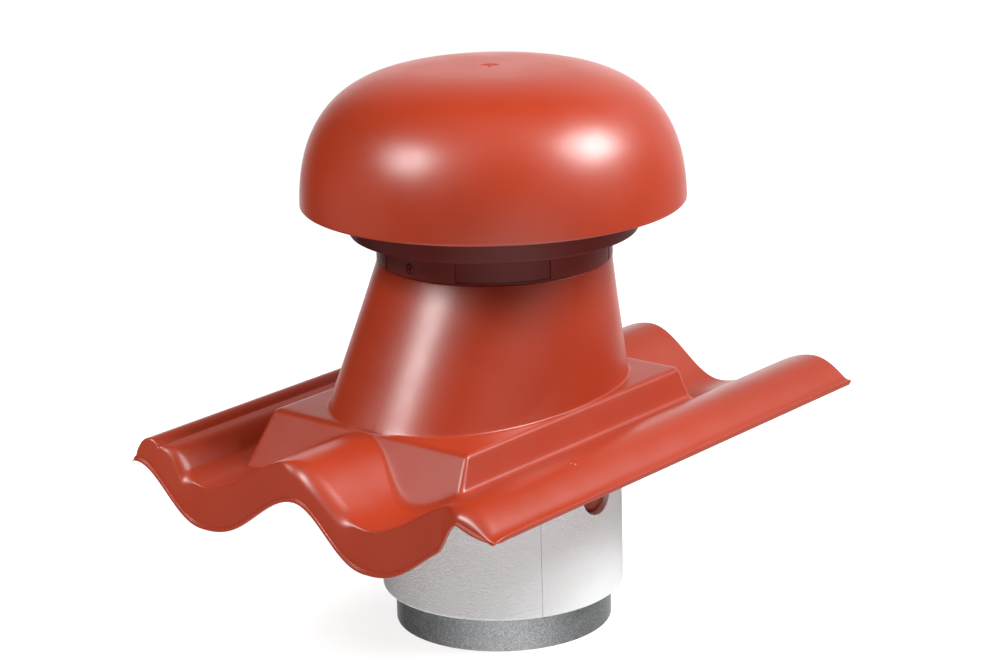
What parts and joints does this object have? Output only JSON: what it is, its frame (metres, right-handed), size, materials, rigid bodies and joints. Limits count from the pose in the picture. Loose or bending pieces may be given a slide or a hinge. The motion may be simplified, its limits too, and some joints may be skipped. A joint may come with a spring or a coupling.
{
  "type": "roof vent cap",
  "caption": "Roof vent outlet: a moulded wavy roof tile with a tapered stack and mushroom cap, and an insulated steel duct below.",
  "frame": {"origin": "centre of the tile's outline, level with the lower end of the duct", "axes": "+X across the tile towards its right edge, +Y up the roof away from the skirt, +Z along the duct to the cap"},
  "size_m": [0.332, 0.4174, 0.414],
  "materials": {
    "terracotta_plastic": "semi-gloss moulded terracotta red",
    "collar_plastic": "satin moulded red-brown",
    "white_foam": "matt expanded foam with a fine bead texture",
    "galvanised_steel": "dull galvanised with fine spangle"
  },
  "bodies": {
    "root": {"cap": "terracotta_plastic", "tile_base": "terracotta_plastic", "sleeve_plug": "terracotta_plastic", "collar": "collar_plastic", "collar_rivet_1": "collar_plastic", "collar_rivet_2": "collar_plastic", "sleeve_left": "white_foam", "sleeve_right": "white_foam", "duct": "galvanised_steel"}
  },
  "joints": []
}
